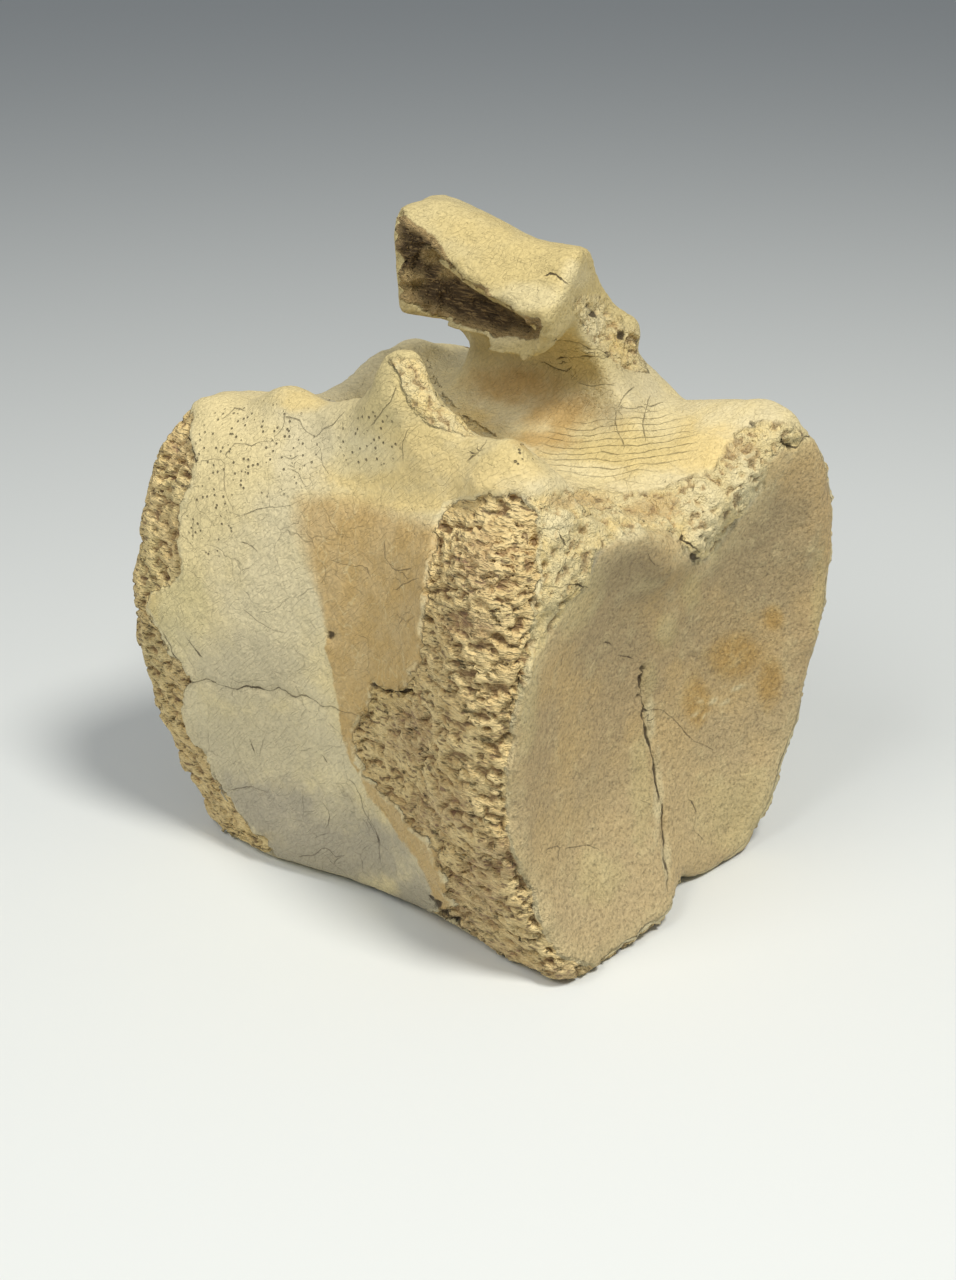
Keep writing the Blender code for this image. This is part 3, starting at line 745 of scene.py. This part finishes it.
# %% Fine cracks
def make_cracks():
    """Cracks along the borders of cells, kept in patches that cover the given share."""
    sockets = {"Position": "Vector", "Cell": "Float", "Width": "Float", "Share": "Float"}
    tree, given, result = new_group("fine_cracks", sockets, "Crack")
    place = given["Position"]
    wobble = node(tree, "TexNoise", {"Vector": place, "Scale": 0.26, "Detail": 2.0}).outputs["Color"]
    shift = vector_calc(tree, "SUBTRACT", wobble, (0.5, 0.5, 0.5))
    bent = vector_calc(tree, "MULTIPLY_ADD", shift, (3.0, 3.0, 3.0), place)
    per_cell = calc(tree, "DIVIDE", 1.0, given["Cell"])
    cells = node(tree, "TexVoronoi", {"Vector": bent, "Scale": per_cell}, feature="DISTANCE_TO_EDGE")
    gap = calc(tree, "MULTIPLY", cells.outputs["Distance"], given["Cell"])
    patches = node(tree, "TexNoise", {"Vector": place, "Scale": 0.16, "Detail": 4.0}).outputs[0]
    level = calc(tree, "SUBTRACT", 1.0, given["Share"])
    above = calc(tree, "MULTIPLY", calc(tree, "SUBTRACT", patches, level), 3.5)
    above = node(tree, "Clamp", {0: above}).outputs[0]
    line = band(tree, gap, 0.0, given["Width"], 1.0, 0.0)
    tree.links.new(calc(tree, "MULTIPLY", line, above), result)
    return tree


fine_cracks = make_cracks()
print("sockets", [socket.name for socket in fine_cracks.interface.items_tree])


# %% Pores, grain and ridges
def make_pores():
    """Round dots, one in each chosen cell."""
    sockets = {"Position": "Vector", "Spacing": "Float", "Radius": "Float", "Share": "Float"}
    tree, given, result = new_group("pores", sockets, "Pore")
    per_cell = calc(tree, "DIVIDE", 1.0, given["Spacing"])
    cells = node(tree, "TexVoronoi", {"Vector": given["Position"], "Scale": per_cell})
    off = calc(tree, "MULTIPLY", cells.outputs["Distance"], given["Spacing"])
    dot = band(tree, off, calc(tree, "MULTIPLY", given["Radius"], 0.5), given["Radius"], 1.0, 0.0)
    pick = node(tree, "SeparateColor", {0: cells.outputs["Color"]}).outputs[0]
    chosen = calc(tree, "LESS_THAN", pick, given["Share"])
    tree.links.new(calc(tree, "MULTIPLY", dot, chosen), result)
    return tree


def make_grain():
    """A noise whose lumps have the given size along each axis."""
    sockets = {"Position": "Vector", "Size": "Vector", "Detail": "Float"}
    tree, given, result = new_group("grain", sockets, "Grain")
    scaled = vector_calc(tree, "DIVIDE", given["Position"], given["Size"])
    lumps = {"Vector": scaled, "Scale": 1.0, "Detail": given["Detail"], "Roughness": 0.6}
    tree.links.new(node(tree, "TexNoise", lumps).outputs[0], result)
    return tree


def make_ridges():
    """Thin winding ridges, where a noise passes through its middle value."""
    sockets = {"Position": "Vector", "Size": "Vector", "Width": "Float"}
    tree, given, result = new_group("ridges", sockets, "Ridge")
    scaled = vector_calc(tree, "DIVIDE", given["Position"], given["Size"])
    swells = {"Vector": scaled, "Scale": 1.0, "Detail": 1.5, "Roughness": 0.5}
    middle = calc(tree, "SUBTRACT", node(tree, "TexNoise", swells).outputs[0], 0.5)
    off = calc(tree, "ABSOLUTE", middle)
    tree.links.new(band(tree, off, 0.0, given["Width"], 1.0, 0.0), result)
    return tree


pores, grain, ridges = make_pores(), make_grain(), make_ridges()
print("node groups", [group.name for group in bpy.data.node_groups])

# %% [markdown]
# ## The bone's colours
# The cortex is pale grey and cream, tan where the burial soil stained it. The spongy bone is ochre
# with brown cells and pale walls, and painted shade deepens its cells. The end face is a granular grey
# brown, and iron has stained the canal and parts of the face orange.

# %% Name the colours
COLOURS = {
    "bone": (0.70, 0.61, 0.38), "ash": (0.57, 0.50, 0.325), "dusk": (0.40, 0.355, 0.26),
    "cream": (0.75, 0.63, 0.34), "straw": (0.77, 0.59, 0.25), "tan": (0.53, 0.355, 0.135),
    "moss": (0.60, 0.52, 0.25), "wall": (0.82, 0.64, 0.315), "floor": (0.50, 0.34, 0.155),
    "deep": (0.15, 0.085, 0.045), "plum": (0.27, 0.15, 0.095), "face": (0.49, 0.365, 0.19),
    # deep is painted shade for the cells of spongy bone.
    "ochre": (0.57, 0.41, 0.19), "slate": (0.40, 0.31, 0.17), "rust": (0.49, 0.31, 0.10),
    "chalk": (0.78, 0.68, 0.405), "umber": (0.13, 0.085, 0.04), "soil_and_shade": (0.06, 0.04, 0.022),
    "sand": (0.62, 0.49, 0.27), "hay": (0.59, 0.48, 0.215), "honey": (0.68, 0.50, 0.225),
}
COLOURS = {name: (*value, 1.0) for name, value in COLOURS.items()}


def tint(tree, colour, mask, share, name):
    """Mixes a named colour in, as far as the share says where the mask is 1."""
    return blend(tree, product(tree, mask, share), colour, COLOURS[name])


print(len(COLOURS), "colours")


# %% [markdown]
# ## One material for the whole bone
# The zones meet in ragged edges, so one material mixes them. Each helper below adds one kind of
# surface: its colour and its small relief, which is kept in millimetres.

# %% Noises and zones that the surfaces share
def shared_fields(tree):
    place = node(tree, "TexCoord").outputs["Object"]
    place = vector_calc(tree, "MULTIPLY", place, (1 / MM,) * 3)
    turn = {"Vector": place, "Angle": math.radians(45)}
    leaning = node(tree, "VectorRotate", turn, rotation_type="X_AXIS").outputs[0]
    given = {"place": place, "leaning": leaning}
    noises = (("large", 22.0, 3.0), ("medium", 6.0, 5.0), ("small", 2.2, 4.0), ("fine", 0.7, 4.0))
    for name, size, detail in noises:
        given[name] = use_group(tree, grain, Position=place, Size=(size, size, size), Detail=detail)
    for name in (*zones, *STAINS_AND_SHADE, "cell", "crack_side", "crack_width", "hole", "fan"):
        given[name] = node(tree, "Attribute", attribute_name=name).outputs["Fac"]
    ragged = calc(tree, "MULTIPLY_ADD", calc(tree, "SUBTRACT", given["small"], 0.5), 1.6, 0.0)
    for name, soft in (("pitted", 0.16), ("pale_rim", 0.7), ("facet", 0.8), ("arch_break", 0.25),
                       ("stump_inside", 0.4)):
        given["on_" + name] = band(tree, calc(tree, "ADD", given[name], ragged), -soft, soft)
    patchy = calc(tree, "SUBTRACT", calc(tree, "MULTIPLY_ADD", given["medium"], 1.6, given["large"]), 1.3)
    for name in STAINS_AND_SHADE:
        given["is_" + name] = band(tree, calc(tree, "MULTIPLY_ADD", patchy, 0.7, given[name]), 0.2, 0.95)
    upward = node(tree, "SeparateXYZ", {0: place}).outputs["Z"]
    given["tall"] = band(tree, upward, 84, 100)
    given["high"] = band(tree, upward, 98, 112)
    given["low"] = band(tree, upward, 12, 52, 1.0, 0.0)
    blur = band(tree, upward, 58, 84, 0.3, 2.6)
    tan = calc(tree, "ADD", given["tan"], ragged)
    given["on_tan"] = band(tree, tan, product(tree, blur, -1.0), blur)
    return given


# %% [markdown]
# ## The five surfaces
# Cortex is smooth and finely wrinkled, with painted shade in the wrinkles, and blotched by stains and by
# painted shade. The end face carried cartilage, so it is granular, with thin flakes that run round its
# rim. The bands show spongy bone: pale walls round brown cells, with painted shade deep in the cells and
# a painted highlight on the walls. The rim and the stump are crumbled, with painted shade deep in their
# cells, and the broken arch is fibrous, with painted shade in its hollow and between its fibres.

# %% Smooth cortex
def cortex(tree, given):
    colour = blend(tree, band(tree, given["large"], 0.35, 0.65), COLOURS["bone"], COLOURS["cream"])
    colour = tint(tree, colour, given["is_ashen"], 0.85, "ash")
    colour = tint(tree, colour, given["is_straw"], 0.75, "straw")
    colour = tint(tree, colour, given["is_moss"], 0.45, "moss")
    # painted shade, mixed in as a dull grey brown
    colour = tint(tree, colour, given["is_dusky"], 0.9, "dusk")
    weathered = calc(tree, "MAXIMUM", given["high"], given["fanned"])
    colour = tint(tree, colour, weathered, 0.65, "hay")
    colour = tint(tree, colour, given["is_rust"], 0.75, "rust")
    colour = tint(tree, colour, given["is_chalky"], 0.6, "chalk")
    mottled = blend(tree, band(tree, given["medium"], 0.35, 0.65), COLOURS["tan"], COLOURS["ochre"])
    colour = blend(tree, product(tree, given["on_tan"], 0.92), colour, mottled)
    veins = use_group(tree, ridges, Position=given["place"], Size=(5.0, 5.0, 7.0), Width=0.012)
    colour = blend(tree, product(tree, veins, given["on_tan"], 0.4), colour, COLOURS["cream"])
    wrinkles = use_group(tree, ridges, Position=given["leaning"], Size=(1.5, 4.2, 1.1), Width=0.07)
    swelling = product(tree, given["small"], band(tree, given["tall"], 0.0, 1.0, 0.6, 0.4))
    relief = calc(tree, "MULTIPLY_ADD", wrinkles, -0.09, swelling)
    # Painted shade: a faint umber in the grooves of the wrinkles.
    colour = tint(tree, colour, wrinkles, 0.03, "umber")
    return colour, relief


# %% Granular end face
def end_face(tree, given):
    colour = blend(tree, band(tree, given["large"], 0.4, 0.62), COLOURS["face"], COLOURS["ochre"])
    colour = tint(tree, colour, given["low"], 0.6, "sand")
    colour = tint(tree, colour, given["is_ashen"], 0.7, "slate")
    # painted shade, mixed in as slate
    colour = tint(tree, colour, given["is_dusky"], 0.55, "slate")
    colour = tint(tree, colour, given["is_moss"], 0.35, "moss")
    colour = tint(tree, colour, given["is_rust"], 0.9, "rust")
    near_rim = band(tree, given["facet"], 0.5, 5.0, 1.0, 0.0)
    colour = tint(tree, colour, near_rim, 0.3, "cream")
    colour = blend(tree, band(tree, given["medium"], 0.5, 0.75, 0.0, 0.4), colour, COLOURS["cream"])
    colour = tint(tree, colour, given["is_chalky"], 0.6, "chalk")
    colour = blend(tree, band(tree, given["fine"], 0.3, 0.5, 0.35, 0.0), colour, COLOURS["umber"])
    colour = blend(tree, band(tree, given["fine"], 0.55, 0.8, 0.0, 0.3), colour, COLOURS["chalk"])
    turn = calc(tree, "PINGPONG", calc(tree, "ADD", given["facet"], given["small"]), 0.5)
    flaking = band(tree, given["medium"], 0.45, 0.6)
    lines = product(tree, band(tree, turn, 0.0, 0.18, 1.0, 0.0), near_rim, flaking)
    colour = tint(tree, colour, lines, 0.3, "chalk")
    relief = calc(tree, "MULTIPLY_ADD", given["small"], 1.1, product(tree, given["fine"], 0.4))
    relief = calc(tree, "MULTIPLY_ADD", given["medium"], 1.2, relief)
    relief = calc(tree, "MULTIPLY_ADD", lines, 0.1, relief)
    return colour, relief


# %% Spongy bone of the bands
def spongy_bone(tree, given):
    place = given["place"]
    flow = use_group(tree, grain, Position=place, Size=(1.5, 2.7, 0.8), Detail=1.8)
    colour = blend(tree, band(tree, given["medium"], 0.38, 0.62), COLOURS["wall"], COLOURS["honey"])
    colour = tint(tree, colour, given["is_straw"], 0.4, "straw")
    colour = tint(tree, colour, given["is_moss"], 0.4, "moss")
    colour = tint(tree, colour, given["is_chalky"], 0.4, "chalk")
    colour = tint(tree, colour, given["is_plum"], 0.3, "plum")
    uneven = calc(tree, "SUBTRACT", given["fine"], 0.5)
    depth = calc(tree, "MULTIPLY_ADD", uneven, 0.35, given["cell"])
    # The cell floors turn brown, partly their own colour and partly painted shade; the deepest cells get
    # painted shade.
    colour = blend(tree, band(tree, depth, 0.35, 0.95), colour, COLOURS["floor"])
    deep = blend(tree, given["is_plum"], COLOURS["deep"], COLOURS["plum"])
    colour = blend(tree, band(tree, depth, 0.8, 1.15, 0.0, 0.75), colour, deep)
    # Painted shade in the troughs of the flow, and a painted highlight in the wall colour on its crests.
    colour = blend(tree, band(tree, flow, 0.32, 0.44, 0.75, 0.0), colour, deep)
    colour = blend(tree, band(tree, flow, 0.52, 0.62, 0.0, 0.6), colour, COLOURS["wall"])
    relief = calc(tree, "MULTIPLY_ADD", flow, 2.4, product(tree, given["small"], 0.5))
    return colour, relief


# %% Crumbled rim
def crumbled_bone(tree, given):
    colour = blend(tree, band(tree, given["medium"], 0.35, 0.75), COLOURS["cream"], COLOURS["straw"])
    colour = tint(tree, colour, given["is_rust"], 0.7, "ochre")
    colour = tint(tree, colour, given["is_chalky"], 0.8, "chalk")
    uneven = calc(tree, "SUBTRACT", given["fine"], 0.5)
    depth = calc(tree, "MULTIPLY_ADD", uneven, 0.8, given["cell"])
    # The cell floors turn brown, partly their own colour and partly painted shade; umber is painted shade
    # in the deepest cells.
    colour = blend(tree, band(tree, depth, 0.35, 0.9, 0.0, 0.6), colour, COLOURS["floor"])
    colour = blend(tree, band(tree, depth, 0.8, 1.15, 0.0, 0.8), colour, COLOURS["umber"])
    flakes = use_group(tree, ridges, Position=given["place"], Size=(1.3, 1.3, 1.3), Width=0.07)
    colour = tint(tree, colour, flakes, 0.25, "chalk")
    relief = calc(tree, "MULTIPLY_ADD", flakes, 0.15, product(tree, given["small"], 2.0))
    return colour, relief


# %% Broken arch, with its fibres
def broken_arch(tree, given):
    fibre = use_group(tree, grain, Position=given["place"], Size=(0.45, 4.5, 0.45), Detail=4.0)
    # Painted shade: the break turns umber towards its sunken middle, and near black in the grooves
    # between its fibres.
    hollow_shade = band(tree, given["arch_break"], 0.4, 3.0)
    colour = blend(tree, hollow_shade, COLOURS["ochre"], COLOURS["umber"])
    colour = tint(tree, colour, given["is_fibrous"], 0.95, "honey")
    colour = blend(tree, band(tree, fibre, 0.5, 0.66, 0.0, 0.85), colour, COLOURS["floor"])
    colour = blend(tree, band(tree, fibre, 0.3, 0.45, 0.8, 0.0), colour, COLOURS["soil_and_shade"])
    return colour, product(tree, fibre, 2.2)


# %% Cracks, pores and holes that cut through every surface, with painted shade inside the holes
def dark_marks_and_pit_shade(tree, given, smooth_bone):
    place = given["place"]
    coarse_net = use_group(tree, fine_cracks, Position=place, Cell=9.0, Width=0.18, Share=0.62)
    fine_net = use_group(tree, fine_cracks, Position=place, Cell=3.6, Width=0.11, Share=0.58)
    nets = calc(tree, "MAXIMUM", product(tree, coarse_net, 0.3), product(tree, fine_net, 0.12))
    nets = product(tree, nets, smooth_bone, band(tree, given["tall"], 0.0, 1.0, 1.0, 0.35))
    dots = use_group(tree, pores, Position=place, Spacing=1.35, Radius=0.36, Share=0.8)
    dots = product(tree, dots, band(tree, given["pored"], 0.2, 0.6, 0.06, 0.75), smooth_bone)
    along = use_group(tree, grain, Position=place, Size=(0.45, 3.6, 0.45), Detail=3.0)
    streaks = product(tree, band(tree, along, 0.54, 0.68), given["high"], smooth_bone, 0.16)

    turn = calc(tree, "PINGPONG", given["fan"], 0.5)
    thickness = band(tree, given["small"], 0.35, 0.65, 0.02, 0.15)
    fan_line = band(tree, turn, 0.0, thickness, 1.0, 0.0)
    fan_line = product(tree, fan_line, band(tree, given["fanned"], 0.2, 0.7), smooth_bone, 0.5)

    uneven = calc(tree, "SUBTRACT", given["fine"], 0.5)
    gap = calc(tree, "ABSOLUTE", calc(tree, "MULTIPLY_ADD", uneven, 0.35, given["crack_side"]))
    half_width = product(tree, given["crack_width"], 0.5)
    drawn = band(tree, gap, product(tree, half_width, 0.4), half_width, 1.0, 0.0)
    drawn = product(tree, drawn, calc(tree, "GREATER_THAN", half_width, 0.03),
                    band(tree, given["crack_width"], 0.2, 0.5, 0.42, 0.9))
    # Painted shade: the pits turn near black just inside their edges.
    hole_edge = calc(tree, "MULTIPLY_ADD", uneven, 0.8, given["hole"])
    pit_shade = band(tree, hole_edge, -0.4, 0.15, 0.9, 0.0)

    marks_and_pit_shade = nets
    for other in (dots, streaks, fan_line, drawn, pit_shade):
        marks_and_pit_shade = calc(tree, "MAXIMUM", marks_and_pit_shade, other)
    return marks_and_pit_shade


# %% Mix the bone's material
def make_bone_material():
    material = bpy.data.materials.new("fossil_bone")
    material.use_nodes = True
    tree = material.node_tree
    surface = tree.nodes["Principled BSDF"]
    given = shared_fields(tree)
    colour, relief = cortex(tree, given)
    other_surfaces = (("on_facet", end_face), ("on_pale_rim", crumbled_bone),
                      ("on_stump_inside", crumbled_bone), ("on_pitted", spongy_bone),
                      ("on_arch_break", broken_arch))
    smooth_bone = 1.0
    for name, make in other_surfaces:
        other_colour, other_relief = make(tree, given)
        colour = blend(tree, given[name], colour, other_colour)
        mixed = {0: given[name], 2: relief, 3: other_relief}
        relief = node(tree, "Mix", mixed, data_type="FLOAT").outputs[0]
        smooth_bone = product(tree, calc(tree, "SUBTRACT", 1.0, given[name]), smooth_bone)

    # Painted highlight: a chalk line along the raised lip at the edge of the cortex, just outside the
    # spongy band.
    before_edge = band(tree, given["pitted"], -1.1, -0.5)
    lip_highlight = product(tree, before_edge, band(tree, given["pitted"], -0.3, 0.1, 1.0, 0.0))
    lip_highlight = product(tree, lip_highlight, band(tree, given["medium"], 0.4, 0.6), 0.6)
    colour = blend(tree, lip_highlight, colour, COLOURS["chalk"])
    speckle = band(tree, given["fine"], 0.25, 0.75, 0.86, 1.1)
    grey = node(tree, "CombineColor", {0: speckle, 1: speckle, 2: speckle}).outputs[0]
    colour = blend(tree, 1.0, colour, grey, "MULTIPLY")
    marks_and_pit_shade = dark_marks_and_pit_shade(tree, given, smooth_bone)
    colour = blend(tree, marks_and_pit_shade, colour, COLOURS["soil_and_shade"])
    tree.links.new(colour, surface.inputs["Base Color"])

    tree.links.new(calc(tree, "MULTIPLY_ADD", given["fine"], 0.25, 0.52), surface.inputs["Roughness"])
    surface.inputs["Specular IOR Level"].default_value = 0.3
    relief = calc(tree, "MULTIPLY_ADD", given["fine"], 0.12, relief)
    relief = calc(tree, "MULTIPLY_ADD", marks_and_pit_shade, -0.45, relief)
    relief = calc(tree, "MULTIPLY_ADD", given["on_pitted"], -0.35, relief)
    bump = node(tree, "Bump", {"Height": relief, "Distance": MM, "Strength": 1.0})
    tree.links.new(bump.outputs[0], surface.inputs["Normal"])
    return material


bone.data.materials.clear()
bone.data.materials.append(make_bone_material())
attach(bone, "root")
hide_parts("vertebra")
print("bone material", len(bone.data.materials[0].node_tree.nodes), "nodes")

# %% [markdown]
# ## Floor and light
# A museum photographs a bone on a plain pale surface, with one large soft light high in front and a
# weak fill.

# %% Make the floor
FLOOR_RADIUS = 3.0

floor = bpy.data.objects.new("floor", bpy.data.meshes.new("floor"))
bpy.context.scene.collection.objects.link(floor)
build = bmesh.new()
bmesh.ops.create_circle(build, cap_ends=True, segments=96, radius=FLOOR_RADIUS)
build.to_mesh(floor.data)
build.free()
floor_paint = bpy.data.materials.new("floor_paint")
floor_paint.use_nodes = True
floor_surface = floor_paint.node_tree.nodes["Principled BSDF"]
floor_surface.inputs["Base Color"].default_value = (0.77, 0.80, 0.80, 1.0)
floor_surface.inputs["Roughness"].default_value = 0.7
floor.data.materials.append(floor_paint)
print("floor", 2 * FLOOR_RADIUS, "m across")


# %% Hang the lights
def soft_light(name, place, aim, size, watts, colour):
    lamp = bpy.data.objects.new(name, bpy.data.lights.new(name, "AREA"))
    bpy.context.scene.collection.objects.link(lamp)
    lamp.data.shape = "DISK"
    lamp.data.size = size
    lamp.data.energy = watts
    lamp.data.color = colour
    toward = np.subtract(aim, place)
    toward = toward / np.linalg.norm(toward)
    side = np.cross(toward, (0, 0, 1))
    side = side / np.linalg.norm(side)
    top_side = np.cross(side, toward)
    lamp.matrix_world = Matrix.Translation(place) @ Matrix(
        np.stack((side, top_side, -toward), axis=1).tolist()).to_4x4()


BONE_MIDDLE = (0.0, 0.0, 0.07)
soft_light("key", place=(-0.05, -0.45, 0.85), aim=BONE_MIDDLE, size=0.26, watts=6.4,
           colour=(1.0, 0.97, 0.90))
soft_light("fill", place=(-0.60, 0.00, 0.70), aim=BONE_MIDDLE, size=0.5, watts=3.0,
           colour=(1.0, 0.98, 0.93))
world = bpy.data.worlds.new("studio")
world.use_nodes = True
world.node_tree.nodes["Background"].inputs["Color"].default_value = (0.80, 0.85, 0.90, 1.0)
world.node_tree.nodes["Background"].inputs["Strength"].default_value = 0.25
bpy.context.scene.world = world
bpy.context.scene.view_settings.view_transform = "Standard"
